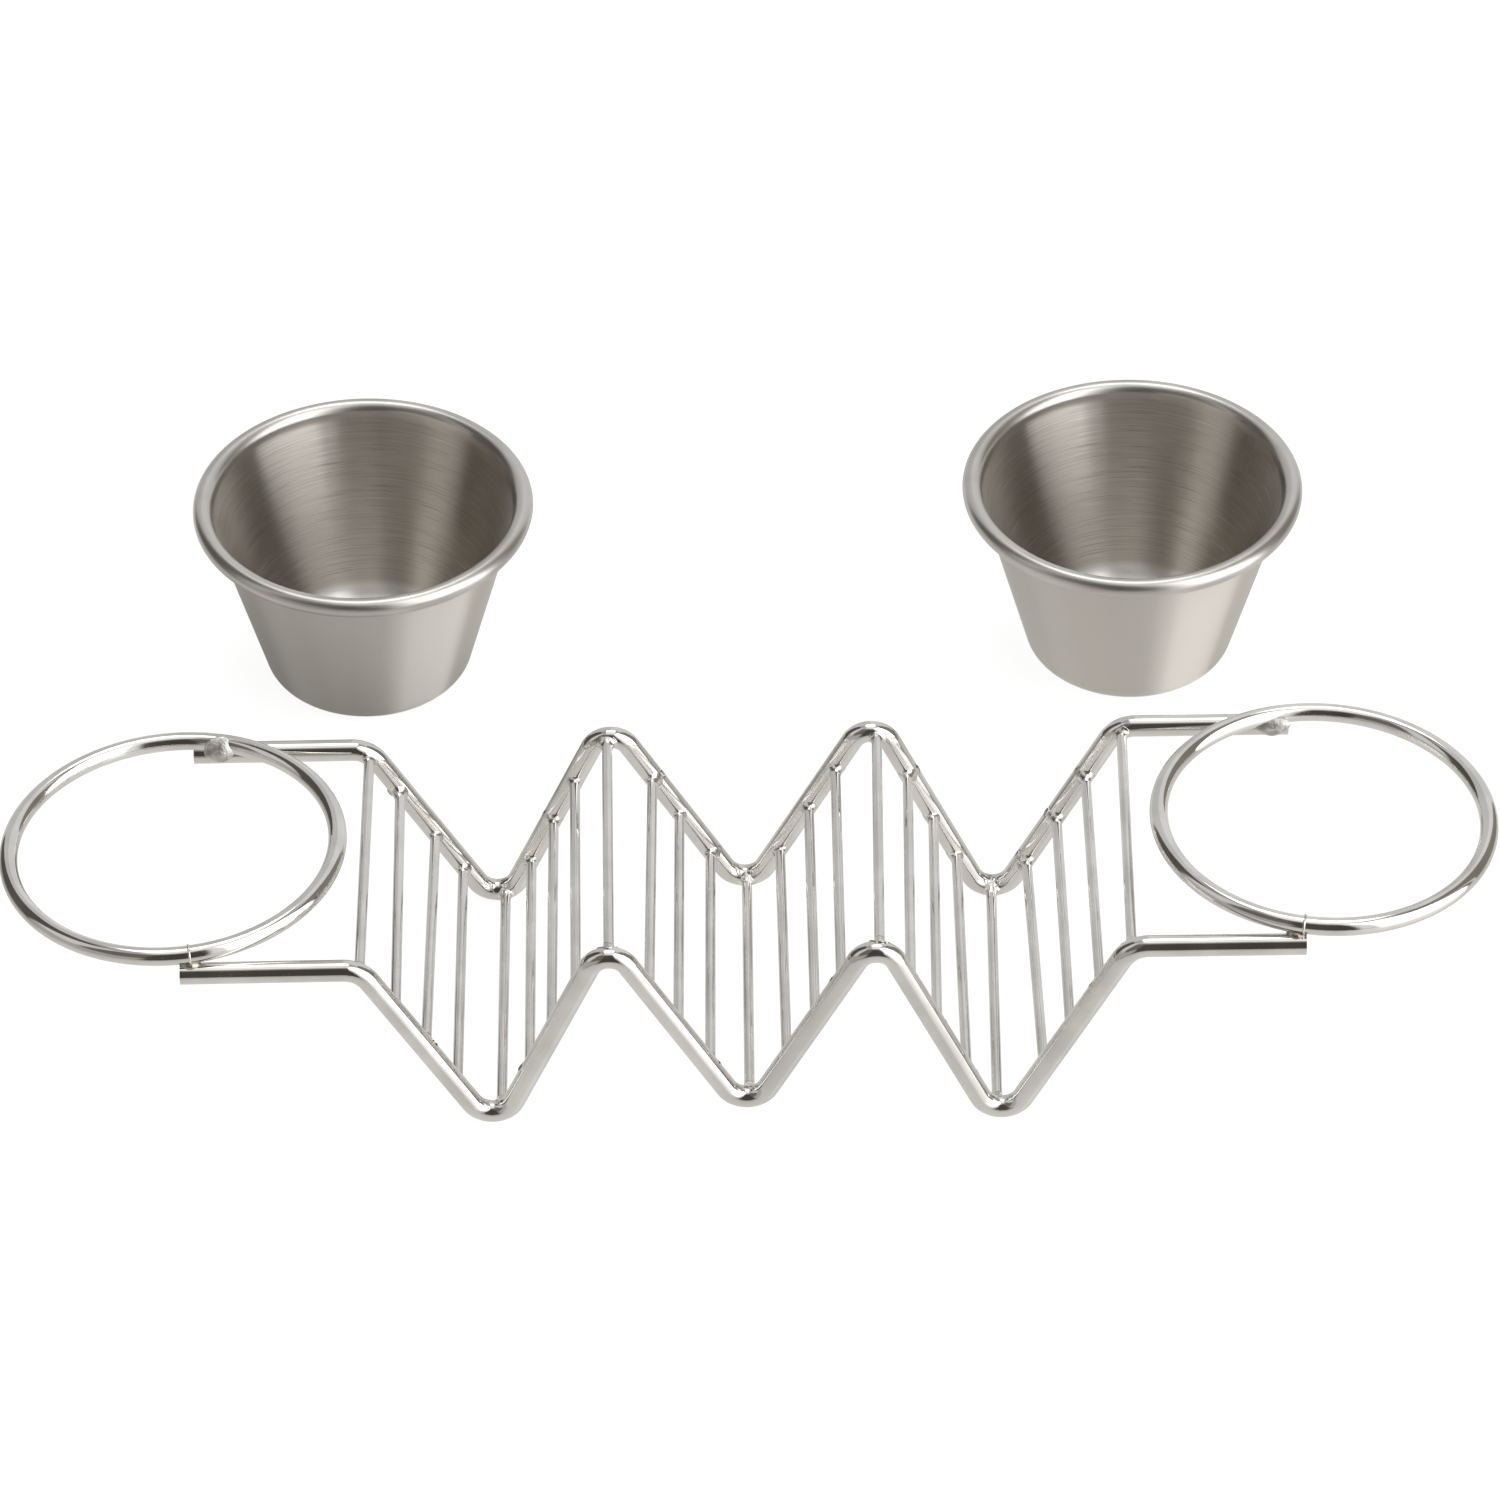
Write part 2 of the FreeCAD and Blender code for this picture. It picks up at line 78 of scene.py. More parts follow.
class Wire:
    """A node's output socket with arithmetic, each operator adding a Math node to the same tree."""

    def __init__(self, tree: "Tree", socket: bpy.types.NodeSocket) -> None:
        """Wraps an output socket of a tree."""
        self.tree, self.socket = tree, socket

    def _math(self, operation: str, *values: Any) -> "Wire":
        """One Math node of the given operation on the given values."""
        return self.tree.add("ShaderNodeMath", {"operation": operation}, dict(enumerate(values)))

    def __add__(self, other: Any) -> "Wire":
        """Sum."""
        return self._math("ADD", self, other)

    __radd__ = __add__

    def __sub__(self, other: Any) -> "Wire":
        """Difference."""
        return self._math("SUBTRACT", self, other)

    def __rsub__(self, other: Any) -> "Wire":
        """Difference with the sides changed over."""
        return self._math("SUBTRACT", other, self)

    def __mul__(self, other: Any) -> "Wire":
        """Product."""
        return self._math("MULTIPLY", self, other)

    __rmul__ = __mul__

    def __truediv__(self, other: Any) -> "Wire":
        """Quotient."""
        return self._math("DIVIDE", self, other)

    def __pow__(self, other: Any) -> "Wire":
        """Power."""
        return self._math("POWER", self, other)

    def most(self, other: Any) -> "Wire":
        """The larger of two values."""
        return self._math("MAXIMUM", self, other)

    def size(self) -> "Wire":
        """Absolute value."""
        return self._math("ABSOLUTE", self)

    def bearing(self, other: Any) -> "Wire":
        """Angle whose tangent is this value over the other, all round the circle."""
        return self._math("ARCTAN2", self, other)

    def step(self, low: float, high: float) -> "Wire":
        """Smooth rise from 0 at low to 1 at high, or a fall where low is the larger.

        Args:
            low: the value at which the result is 0.
            high: the value at which the result is 1.

        Returns:
            The eased share, from 0 to 1.
        """
        start, end, first, last = (low, high, 0.0, 1.0) if low < high else (high, low, 1.0, 0.0)
        return self.tree.add(
            "ShaderNodeMapRange", {"interpolation_type": "SMOOTHSTEP"},
            {"Value": self, "From Min": start, "From Max": end, "To Min": first, "To Max": last})


class Tree:
    """A node tree that is written as expressions."""

    def __init__(self, tree: bpy.types.NodeTree) -> None:
        """Empties a node tree for writing."""
        self.tree = tree
        tree.nodes.clear()

    def add(self, kind: str, settings: dict[str, Any] | None = None, inputs: dict[Any, Any] | None = None,
            output: str | int = 0) -> Wire:
        """Adds a node, sets it up, fills its sockets and wraps one of its outputs.

        Args:
            kind: the node's type.
            settings: properties of the node, set first.
            inputs: values or wires for its sockets, by name or number.
            output: which output is wrapped.

        Returns:
            The wrapped output.
        """
        node = self.tree.nodes.new(kind)
        for name, value in (settings or {}).items():
            setattr(node, name, value)
        for name, value in (inputs or {}).items():
            if isinstance(value, Wire):
                self.tree.links.new(value.socket, node.inputs[name])
            else:
                node.inputs[name].default_value = value
        return Wire(self, node.outputs[output]) if node.outputs else Wire(self, None)

    def place(self, centre: Triple = (0, 0, 0)) -> Wire:
        """Object coordinates measured from a centre, in metres."""
        coordinates = self.add("ShaderNodeTexCoord", output="Object")
        shift = tuple(-value for value in centre)
        return self.add("ShaderNodeMapping", {}, {"Vector": coordinates, "Location": shift})

    def parts(self, vector: Wire) -> tuple[Wire, Wire, Wire]:
        """The three components of a vector."""
        first = self.add("ShaderNodeSeparateXYZ", {}, {0: vector})
        outputs = first.socket.node.outputs
        return tuple(Wire(self, outputs[index]) for index in range(3))

    def vector(self, x: Any, y: Any, z: Any) -> Wire:
        """A vector of three values."""
        return self.add("ShaderNodeCombineXYZ", {}, {0: x, 1: y, 2: z})

    def noise(self, where: Wire, scale: float = 1.0, detail: float = 2.0, roughness: float = 0.5) -> Wire:
        """Noise from 0 to 1 about one half."""
        return self.add("ShaderNodeTexNoise", {},
                        {"Vector": where, "Scale": scale, "Detail": detail, "Roughness": roughness})

    def tint(self, share: Wire, dark: Triple, light: Triple) -> Wire:
        """Colour between two, by a share from 0 to 1."""
        return self.add("ShaderNodeMix", {"data_type": "RGBA"},
                        {"Factor": share, 6: (*dark, 1.0), 7: (*light, 1.0)}, output=2)

    def blend(self, ground: Wire, over: Triple, share: Wire) -> Wire:
        """A colour laid over another by a share from 0 to 1."""
        return self.add("ShaderNodeMix", {"data_type": "RGBA"},
                        {"Factor": share, 6: ground, 7: (*over, 1.0)}, output=2)

    def bump(self, height: Wire, distance: float) -> Wire:
        """Normal tilted by a height in shares of a distance in metres."""
        return self.add("ShaderNodeBump", {}, {"Strength": 1.0, "Distance": distance, "Height": height})

    def metal(self, colour: Wire, roughness: Wire, normal: Wire, anisotropic: float = 0.0) -> Wire:
        """A bare metal surface, whose stretched highlights run a quarter of a turn across the brushing."""
        return self.add("ShaderNodeBsdfPrincipled", {}, {
            "Base Color": colour, "Roughness": roughness, "Normal": normal,
            "Metallic": 1.0, "Anisotropic": anisotropic, "Anisotropic Rotation": 0.25})

    def camera_ray(self) -> Wire:
        """1 for what the camera sees by itself, 0 for reflections and light."""
        return self.add("ShaderNodeLightPath", output="Is Camera Ray")

    def end(self, surface: Wire) -> None:
        """Makes a surface the material's own."""
        self.add("ShaderNodeOutputMaterial", {}, {"Surface": surface})


def new_material(name: str) -> tuple[bpy.types.Material, Tree]:
    """A material and its emptied node tree."""
    material = bpy.data.materials.new(name)
    material.use_nodes = True
    return material, Tree(material.node_tree)


@dataclass(frozen=True)
class PolishedWire:
    """Drawn stainless wire, polished bright: a slow waviness, fine pits and small changes of gloss."""

    dark: Triple = (0.72, 0.705, 0.68)
    light: Triple = (0.84, 0.825, 0.795)
    gloss: float = 0.06
    haze: float = 0.08
    wave_per_m: float = 90.0
    wave_tint: Span = (0.3, 0.7)
    wave_haze: Span = (0.35, 0.75)
    wave_depth: float = 0.03 * MM
    pits_per_m: float = 1400.0
    pits_from: Span = (0.66, 0.74)
    pit_shade: float = 0.5
    pit_haze: float = 0.15
    pit_depth: float = 0.05

    def material(self) -> bpy.types.Material:
        """The finish as a material."""
        material, tree = new_material("bright_wire")
        here = tree.place()
        slow = tree.noise(here, self.wave_per_m, detail=3.0)
        fine = tree.noise(here, self.pits_per_m, roughness=0.6)
        pits = fine.step(*self.pits_from)
        lightness = slow.step(*self.wave_tint) * (1 - pits * self.pit_shade)
        roughness = self.gloss + slow.step(*self.wave_haze) * self.haze + pits * self.pit_haze
        normal = tree.bump(slow - pits * self.pit_depth, self.wave_depth)
        tree.end(tree.metal(tree.tint(lightness, self.dark, self.light), roughness, normal))
        return material


@dataclass(frozen=True)
class WeldMetal:
    """Weld metal left as it set: finely rippled, with brighter and duller patches."""

    name: str
    dark: Triple
    light: Triple
    gloss: float
    haze: float
    ripple: float = 0.25 * MM
    patch_per_m: float = 500.0
    patch_tint: Span = (0.35, 0.65)
    patch_height: float = 0.7
    grain_per_m: float = 2200.0
    grain_height: float = 0.3

    def material(self) -> bpy.types.Material:
        """The finish as a material."""
        material, tree = new_material(self.name)
        here = tree.place()
        patch = tree.noise(here, self.patch_per_m, detail=3.0)
        grain = tree.noise(here, self.grain_per_m)
        colour = tree.tint(patch.step(*self.patch_tint), self.dark, self.light)
        roughness = self.gloss + grain * self.haze
        normal = tree.bump(patch * self.patch_height + grain * self.grain_height, self.ripple)
        tree.end(tree.metal(colour, roughness, normal))
        return material


# the fillets' weld is glossier than the other welds, and its lighter colour is partly the fresh metal's own and
# partly painted highlight
BRIGHT_WELD = WeldMetal("bright_weld", dark=(0.60, 0.585, 0.56), light=(0.90, 0.885, 0.86),
                        gloss=0.10, haze=0.14, ripple=0.12 * MM)
DULL_WELD = WeldMetal("dull_weld", dark=(0.44, 0.43, 0.40), light=(0.74, 0.725, 0.70),
                      gloss=0.30, haze=0.22)
DARK_WELD = WeldMetal("dark_weld", dark=(0.20, 0.165, 0.13), light=(0.52, 0.47, 0.41),
                      gloss=0.16, haze=0.20)


@dataclass(frozen=True)
class BrushedCup:
    """Spun steel brushed on the lathe: fine lines round the axis that stretch highlights up the wall."""

    axis: Triple
    name: str
    outside: Triple = (0.73, 0.70, 0.655)
    # painted shade: the inside gets a darker copy of the steel's colour for the shade in the cup's hollow
    inside: Triple = (0.565, 0.53, 0.485)
    # painted shade: both rim colours are darker copies of the steel that tone down the rim's highlight; between
    # them the tone varies at random in patches
    rim: Triple = (0.56, 0.54, 0.51)
    rubbed_rim: Triple = (0.66, 0.64, 0.61)
    # painted highlight: the base inside the cup gets a lighter copy of the steel's colour, standing in for the
    # overhead light it reflects
    painted_floor_highlight: Triple = (0.80, 0.79, 0.775)
    worn: Triple = (0.84, 0.815, 0.77)
    scratched: Triple = (0.33, 0.305, 0.27)
    gloss: float = 0.31
    satin: float = 0.29
    haze: float = 0.05
    stretch: float = 1.0
    wall_foot: float = 20.76 * MM
    wall_slope: float = 0.2722
    wall_edge: float = 0.1 * MM
    floor_height: float = 5.0 * MM
    floor_edge: float = 2.0 * MM
    roll_height: float = 41.8 * MM
    roll_radius: float = 31.4 * MM
    roll_edge: float = 0.4 * MM
    roll_foot: Span = (30.0 * MM, 34.0 * MM)
    lines_per_m: float = 4200.0
    lines_per_radian: float = 0.9
    lines_worn: Span = (0.35, 0.75)
    nicks_per_radian: float = 2.4
    nicks_per_line: float = 0.9
    nicks_layer: float = 7.0
    patch_per_m: float = 55.0
    patch_rubbed: Span = (0.40, 0.60)
    scratch_nicks: Span = (0.64, 0.70)
    scratch_patch: Span = (0.35, 0.60)
    scratch_share: float = 0.6
    shine_nicks: Span = (0.36, 0.30)
    shine_patch: Span = (0.65, 0.40)
    shine_share: float = 0.5
    worn_share: float = 0.35
    worn_outside: float = 0.3
    line_height: float = 0.6
    scratch_height: float = 0.4
    brush_depth: float = 0.006 * MM

    def material(self) -> bpy.types.Material:
        """The finish as a material, its lines wound round the cup's own axis.

        A point is on the inside where its radius is less than that of the wall's middle, which
        grows with height by the slope of the wall. The rolled rim is satin and the rest stretches
        its highlights.
        """
        material, tree = new_material(self.name)
        x, y, z = tree.parts(tree.place(self.axis))
        radius = (x * x + y * y) ** 0.5
        outermost, innermost = self.wall_foot + self.wall_edge, self.wall_foot - self.wall_edge
        inner = (radius - z * self.wall_slope).step(outermost, innermost)
        along = (radius + z) * self.lines_per_m
        turn = y.bearing(x)
        lines = tree.noise(tree.vector(turn * self.lines_per_radian, along, 0.0), roughness=0.6)
        layer = tree.vector(turn * self.nicks_per_radian, along * self.nicks_per_line, self.nicks_layer)
        nicks = tree.noise(layer, detail=0.0)
        patch = tree.noise(tree.place(self.axis), self.patch_per_m)
        wall_inside = inner * z.step(self.floor_height, self.floor_height + self.floor_edge)
        scratch = nicks.step(*self.scratch_nicks) * patch.step(*self.scratch_patch) * wall_inside
        shine = nicks.step(*self.shine_nicks) * patch.step(*self.shine_patch) * wall_inside
        # mask of the base inside the cup, where the lighter colour is a painted highlight
        painted_floor_highlight = inner * z.step(self.floor_height, self.floor_height - self.floor_edge)
        # painted shade: the inside of the wall gets the darker copy of the steel's colour
        ground = tree.blend(tree.tint(inner, self.outside, self.inside), self.painted_floor_highlight, painted_floor_highlight)
        wear = lines.step(*self.lines_worn) * self.worn_share + shine * self.shine_share
        lined = tree.blend(ground, self.worn, wear * (self.worn_outside + inner * (1 - self.worn_outside)))
        colour = tree.blend(lined, self.scratched, scratch * self.scratch_share)
        normal = tree.bump(lines * self.line_height + scratch * self.scratch_height, self.brush_depth)
        roll = z.step(self.roll_height, self.roll_height + self.roll_edge).most(
            radius.step(self.roll_radius, self.roll_radius + self.roll_edge) * z.step(*self.roll_foot))
        wall = tree.metal(colour, self.gloss + lines * self.haze, normal, self.stretch)
        # painted shade: darker copies of the steel tone down the rim's highlight, in patches that vary at
        # random
        edge = tree.tint(patch.step(*self.patch_rubbed), self.rim, self.rubbed_rim)
        rest = tree.metal(edge, self.satin + lines * self.haze, normal)
        tree.end(tree.add("ShaderNodeMixShader", {}, {0: roll, 1: wall, 2: rest}))
        return material


def add_surface(name: str, points: np.ndarray, rows_join: bool, finish: bpy.types.Material) -> bpy.types.Object:
    """Makes one mesh of many grids of points, each grid with the same number of rows and columns.

    Each face joins two neighbours in a row with the two beside them in the next row. The last column
    joins the first, and points that fall together, as at a pole, become one vertex.

    Args:
        name: the piece's name.
        points: coordinates in metres by grid, row and column.
        rows_join: whether the last row joins the first too.
        finish: the material.

    Returns:
        The finished piece, riding on the rack.
    """
    grids, rows, columns, _ = points.shape
    index = np.arange(rows * columns).reshape(rows, columns)
    right, down = np.roll(index, -1, 1), np.roll(index, -1, 0)
    quads = np.stack([index, right, np.roll(down, -1, 1), down], -1)
    quads = quads[:rows if rows_join else rows - 1].reshape(-1, 4)
    faces = (quads[None] + (np.arange(grids) * rows * columns)[:, None, None]).reshape(-1, 4)
    mesh = bpy.data.meshes.new(name)
    mesh.from_pydata(points.reshape(-1, 3), [], faces)
    shell = bmesh.new()
    shell.from_mesh(mesh)
    bmesh.ops.remove_doubles(shell, verts=shell.verts, dist=SAME_POINT)
    shell.to_mesh(mesh)
    shell.free()
    mesh.polygons.foreach_set("use_smooth", np.ones(len(mesh.polygons), bool))
    mesh.materials.append(finish)
    mesh.update()
    piece = bpy.data.objects.new(name, mesh)
    bpy.context.scene.collection.objects.link(piece)
    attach(piece, "root")
    return piece


def node_points(node: str) -> np.ndarray:
    """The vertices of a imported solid, in metres."""
    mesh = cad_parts[node].data
    flat = np.empty(len(mesh.vertices) * 3, np.float32)
    mesh.vertices.foreach_get("co", flat)
    return flat.reshape(-1, 3).astype(float)


@dataclass
class Rack:
    """The wire rack: its solids' finish, and the small welds that join its wires."""

    rail_wire: float = 4.4 * MM
    bar_wire: float = 2.1 * MM
    ring_wire: float = 3.7 * MM
    bars: int = 25
    rays: int = 16
    ray_aside: float = 0.3
    ray_start: float = 5.0 * MM
    fillet_reach: float = 1.15 * MM
    fillet_height: float = 1.5 * MM
    fillet_sizes: Span = (0.75, 1.2)
    fillet_uneven: float = 0.22
    fillet_core: float = 0.7
    fillet_cap: float = 0.6
    fillet_root: float = -0.25
    fillet_sink: float = 0.08 * MM
    fillet_widest: float = 0.98
    fillet_turns: int = 28
    fillet_steps: int = 9
    seam_bead: float = 0.26 * MM
    seam_proud: float = 0.25
    seam_turns: int = 40
    seam_steps: int = 10
    left_seam: float = 4.6 * MM
    right_seam: float = -5.7 * MM
    left_tilt: float = math.radians(-2.5)
    right_tilt: float = math.radians(1.7)
    left_pool: Triple = (3.1 * MM, 2.7 * MM, 1.3 * MM)
    right_pool: Triple = (3.4 * MM, 2.0 * MM, 1.2 * MM)
    pool_lift: float = 1.7 * MM
    pool_lean: float = math.radians(50)
    pool_oval: float = 0.04
    pool_oval_turn: float = 0.8
    pool_lobe: float = 0.03
    pool_lobes: int = 5
    pool_lobe_turn: float = 2.1
    pool_ripple: float = 0.05
    pool_ripples: int = 5
    pool_ripple_swing: float = 0.8
    pool_turns: int = 48
    pool_steps: int = 25

    def dress(self, wire: bpy.types.Material, rear: bpy.types.Material) -> None:
        """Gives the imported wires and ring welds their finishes; heat has darkened the front welds."""
        front = DARK_WELD.material()
        for name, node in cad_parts.items():
            if name.endswith("_cup"):
                continue
            finish = front if name.endswith("front_weld") else rear if name.endswith("rear_weld") else wire
            node.data.materials.clear()
            node.data.materials.append(finish)
            LOG.info("dressed %s with %s", name, finish.name)

    def bar_ends(self) -> tuple[np.ndarray, np.ndarray]:
        """Middles of the front and the rear ends of all cross bars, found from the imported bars."""
        front, rear = [], []
        for number in range(1, self.bars + 1):
            points = node_points(f"cross_bar_{number:02d}")
            middle = points[:, 1].mean()
            front.append(points[points[:, 1] < middle].mean(0))
            rear.append(points[points[:, 1] > middle].mean(0))
        return np.array(front), np.array(rear)

    def rail_direction(self, row: Row, at: np.ndarray) -> np.ndarray:
        """Directions of a rail's wire beside points, read from its surface by a ring of rays.

        A normal of a round wire has no share along the wire, so in the rail's own plane the wire
        runs at right angles to the strongest direction of the normals that the rays meet.

        Args:
            row: which rail.
            at: points beside the rail, one to a row.

        Returns:
            A unit vector along the wire for each point.
        """
        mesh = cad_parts[f"{row.value}_rail"].data
        surface = BVHTree.FromPolygons([v.co for v in mesh.vertices], [p.vertices for p in mesh.polygons])
        toward = Vector((0, -1, 0)) if row is Row.FRONT else Vector((0, 1, 0))
        found = []
        for point in at:
            spread = np.zeros((2, 2))
            for turn in np.linspace(0, FULL_TURN, self.rays, endpoint=False):
                aside = Vector((math.cos(turn), 0, math.sin(turn))) * self.ray_aside * self.rail_wire
                normal = surface.ray_cast(Vector(point) + aside - toward * self.ray_start, toward)[1]
                if normal is not None:
                    spread += np.outer((normal.x, normal.z), (normal.x, normal.z))
            across = np.linalg.eigh(spread)[1][:, 1]
            found.append((-across[1], 0.0, across[0]))
        return np.array(found)

    def add_fillets(self, row: Row, finish: bpy.types.Material) -> bpy.types.Object:
        """Weld fillets round the bars where they butt against a rail.

        The section of a fillet is a closed loop carried round the bar's axis. Its outer side is a
        quarter of an ellipse that leaves the bar at a tangent and lands on the rail; its inner side
        is hidden in the two wires. The loop drops with the rail's roundness, by the rail's radius
        less the root of its square less the square of the distance across the rail. It stays above
        the table.

        Args:
            row: which rail.
            finish: the weld's material.

        Returns:
            One piece with a fillet for each bar.
        """
        front, rear = self.bar_ends()
        ends = front if row is Row.FRONT else rear
        other = rear if row is Row.FRONT else front
        inward = other - ends
        inward /= np.linalg.norm(inward, axis=1)[:, None]
        along = self.rail_direction(row, ends)
        across = np.cross(inward, along)
        across /= np.linalg.norm(across, axis=1)[:, None]
        along = np.cross(across, inward)
        random = np.random.default_rng(FRONT_SEED if row is Row.FRONT else REAR_SEED)
        turns = np.linspace(0, FULL_TURN, self.fillet_turns, endpoint=False)
        arc = np.linspace(0, math.pi / 2, self.fillet_steps)
        bar, rail = self.bar_wire / 2, self.rail_wire / 2
        size = random.uniform(*self.fillet_sizes, len(ends))[:, None, None]
        lean = random.uniform(0, FULL_TURN, len(ends))[:, None, None]
        swell = size * (1 + self.fillet_uneven * np.cos(turns - lean[..., 0])[..., None])
        reach = bar + self.fillet_reach * swell * (1 - np.sin(arc))
        height = self.fillet_height * swell * (1 - np.cos(arc))
        inner_reach = np.full((*reach.shape[:2], 2), bar * self.fillet_core)
        inner_height = np.broadcast_to([self.fillet_cap, self.fillet_root], inner_reach.shape)
        loop_reach = np.concatenate([reach, inner_reach], 2)
        loop_height = np.concatenate([height, self.fillet_height * inner_height], 2)
        u = loop_reach * np.sin(turns)[None, :, None]
        v = loop_reach * np.cos(turns)[None, :, None]
        aside = np.minimum(np.abs(u), rail * self.fillet_widest)
        drop = rail - np.sqrt(rail ** 2 - aside ** 2)
        start = self.rail_surface(row)
        base = ends + inward * ((start - ends[:, 1]) / inward[:, 1])[:, None]
        level = loop_height - drop - self.fillet_sink
        points = (base[:, None, None] + inward[:, None, None] * level[..., None]
                  + across[:, None, None] * u[..., None] + along[:, None, None] * v[..., None])
        points[..., 2] = np.maximum(points[..., 2], 0.0)
        return add_surface(f"{row.value}_bar_welds", points[:, ::-1], True, finish)

    def rail_surface(self, row: Row) -> float:
        """Y of the side of a rail that faces the bars."""
        low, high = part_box(f"{row.value}_rail")
        return high.y if row is Row.FRONT else low.y

    def add_seam(self, side: Side, finish: bpy.types.Material) -> bpy.types.Object:
        """Bead where the two ends of a ring's wire butt together, near the front rail.

        A small circle is carried round the wire's own circle, in the plane across the wire.

        Args:
            side: which ring.
            finish: the weld's material.

        Returns:
            The bead.
        """
        low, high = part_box(f"{side.value}_ring")
        centre = np.array((low + high) / 2)
        ring = (high.y - low.y) / 2 - self.ring_wire / 2
        offset = self.left_seam if side is Side.LEFT else self.right_seam
        tilt = self.left_tilt if side is Side.LEFT else self.right_tilt
        bearing = math.asin(offset / ring)
        outward = np.array([math.sin(bearing), -math.cos(bearing), 0.0])
        forward = np.array([math.cos(bearing), math.sin(bearing), 0.0])
        lean = np.array(Matrix.Rotation(tilt, 3, "Y"))
        up = lean @ np.array([0.0, 0.0, 1.0])
        outward, forward = lean @ outward, lean @ forward
        turns = np.linspace(0, FULL_TURN, self.seam_turns, endpoint=False)[:, None]
        small = np.linspace(0, FULL_TURN, self.seam_steps, endpoint=False)[None, :]
        wire = self.ring_wire / 2
        reach = wire + self.seam_bead * (self.seam_proud + np.cos(small)) + 0 * turns
        slide = self.seam_bead * np.sin(small) + 0 * turns
        points = (centre + outward * ring + (np.cos(turns) * reach)[..., None] * outward
                  + (np.sin(turns) * reach)[..., None] * up + slide[..., None] * forward)
        return add_surface(f"{side.value}_ring_seam", points[None], True, finish)

    def add_pool(self, side: Side, finish: bpy.types.Material) -> bpy.types.Object:
        """Flat pool of weld metal that has run over a ring and the rear rail, on their inner side.

        An ellipsoid, given by an angle from its pole and a turn round it, whose radius swells by
        waves round and along it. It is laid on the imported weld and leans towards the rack's front.

        Args:
            side: which ring.
            finish: the weld's material.

        Returns:
            The pool.
        """
        low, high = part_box(f"{side.value}_rear_weld")
        lean = np.array(Matrix.Rotation(self.pool_lean, 3, "X"))
        wide, tall, thick = self.left_pool if side is Side.LEFT else self.right_pool
        polar = np.linspace(0, math.pi, self.pool_steps)[:, None]
        turns = np.linspace(0, FULL_TURN, self.pool_turns, endpoint=False)[None, :]
        off_pole = np.sin(polar)
        ripple_angle = self.pool_ripples * polar + self.pool_ripple_swing * np.sin(turns)
        oval = self.pool_oval * np.sin(2 * turns + self.pool_oval_turn) * off_pole
        lobes = self.pool_lobe * np.sin(self.pool_lobes * turns + self.pool_lobe_turn) * off_pole ** 2
        ripples = self.pool_ripple * np.cos(ripple_angle) * off_pole
        swell = 1 + oval + lobes + ripples
        local = np.stack([wide * swell * off_pole * np.cos(turns),
                          tall * swell * off_pole * np.sin(turns),
                          thick * swell * np.cos(polar) + 0 * turns], -1)
        out = lean @ np.array([0.0, 0.0, 1.0])
        centre = np.array((low + high) / 2) + out * self.pool_lift
        points = centre + local @ lean.T
        return add_surface(f"{side.value}_weld_pool", points[None, ::-1], False, finish)

    def build(self) -> None:
        """Dresses the rack and adds its welds."""
        weld, pool = BRIGHT_WELD.material(), DULL_WELD.material()
        self.dress(PolishedWire().material(), pool)
        for side in Side:
            LOG.info("added %s", self.add_pool(side, pool).name)
        for row in Row:
            LOG.info("added %s", self.add_fillets(row, weld).name)
        for side in Side:
            LOG.info("added %s", self.add_seam(side, weld).name)


@dataclass
class Cup:
    """One sauce cup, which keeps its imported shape."""

    side: Side

    def build(self) -> None:
        """Dresses the cup in steel brushed round its own axis."""
        name = f"{self.side.value}_cup"
        low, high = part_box(name)
        axis = ((low.x + high.x) / 2, (low.y + high.y) / 2, 0.0)
        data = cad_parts[name].data
        data.materials.clear()
        data.materials.append(BrushedCup(axis, f"brushed_{name}").material())
        LOG.info("dressed %s", name)


@dataclass
class View:
    """Camera that looks down on the rack from the front through a long lens, its angles in degrees."""

    aim: Triple = (0.00068, 0.02713, -0.00363)
    elevation: float = 40.047
    azimuth: float = -0.098
    roll: float = -0.468
    distance: float = 1.88136
    lens: float = 213.13
    sensor: float = 36.0
    nearest: float = 0.1
    farthest: float = 100.0

    def build(self) -> None:
        """Places the camera at its distance from the aim, level with the table and then rolled."""
        elevation, azimuth, roll = (math.radians(v) for v in (self.elevation, self.azimuth, self.roll))
        back = Vector((math.sin(azimuth) * math.cos(elevation), -math.cos(azimuth) * math.cos(elevation),
                       math.sin(elevation)))
        level = Vector((math.cos(azimuth), math.sin(azimuth), 0))
        up = back.cross(level)
        right = level * math.cos(roll) + up * math.sin(roll)
        above = up * math.cos(roll) - level * math.sin(roll)
        data = bpy.data.cameras.new("camera")
        data.lens = self.lens
        data.sensor_width = self.sensor
        data.clip_start, data.clip_end = self.nearest, self.farthest
        camera = bpy.data.objects.new("camera", data)
        turned = Matrix((right, above, back)).transposed().to_4x4()
        camera.matrix_world = Matrix.Translation(Vector(self.aim) + back * self.distance) @ turned
        bpy.context.scene.collection.objects.link(camera)
        bpy.context.scene.camera = camera


@dataclass(frozen=True)
class Patch:
    """Patch of brighter light on the table: where it rises along X and Y, and how strong it is."""

    x: Span
    y: Span
    strength: float

    def light(self, x: Wire, y: Wire) -> Wire:
        """Light that the patch adds at a place."""
        return x.step(*self.x) * y.step(*self.y) * self.strength


